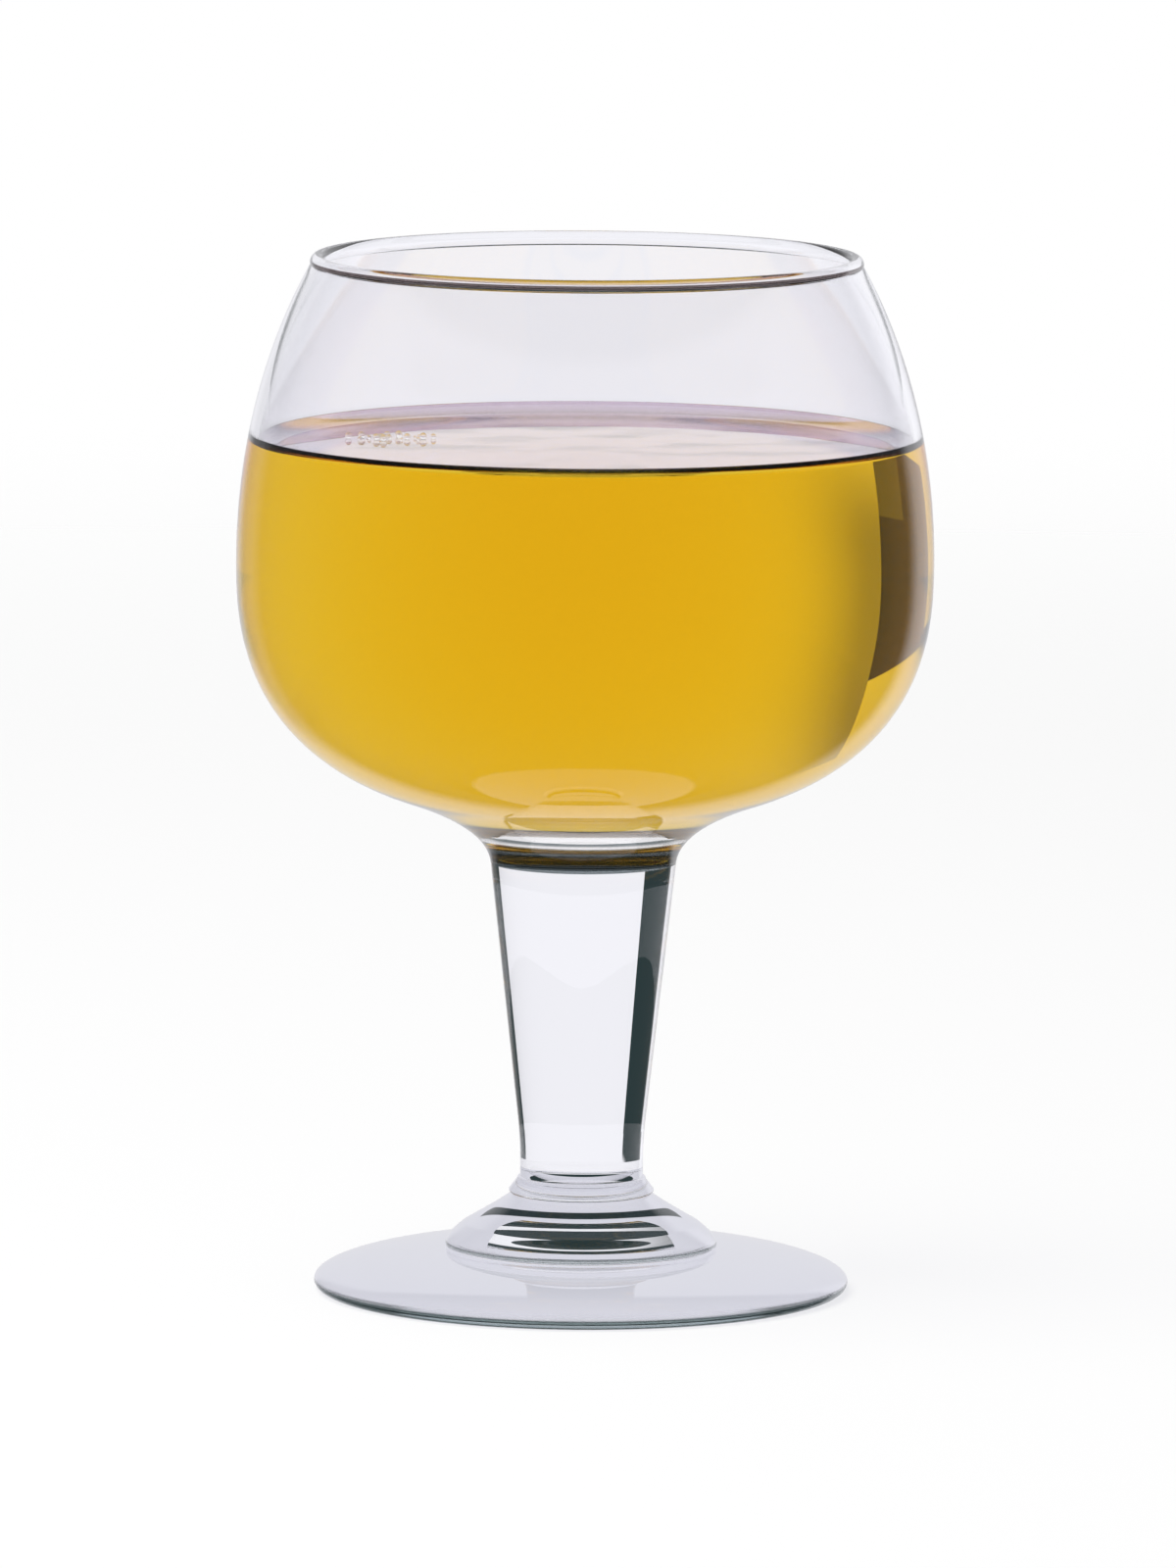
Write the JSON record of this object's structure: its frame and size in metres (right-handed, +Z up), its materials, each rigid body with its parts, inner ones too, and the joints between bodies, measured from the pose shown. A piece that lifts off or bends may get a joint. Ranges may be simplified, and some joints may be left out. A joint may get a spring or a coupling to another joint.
{
  "type": "stemmed glass",
  "caption": "Round-bowled clear drinking glass on a solid tapering stem and a domed foot, part-filled with an amber drink.",
  "frame": {"origin": "centre of the flat face under the foot, on the table", "axes": "+Z up along the glass's axis of revolution; X and Y are equal, because the glass is round"},
  "size_m": [0.09, 0.09, 0.1346],
  "materials": {
    "clear_glass": "polished",
    "amber_drink": "gloss"
  },
  "bodies": {
    "root": {"bowl": "clear_glass", "stem": "clear_glass", "collar": "clear_glass", "boss": "clear_glass", "foot": "clear_glass", "drink": "amber_drink"}
  },
  "joints": []
}
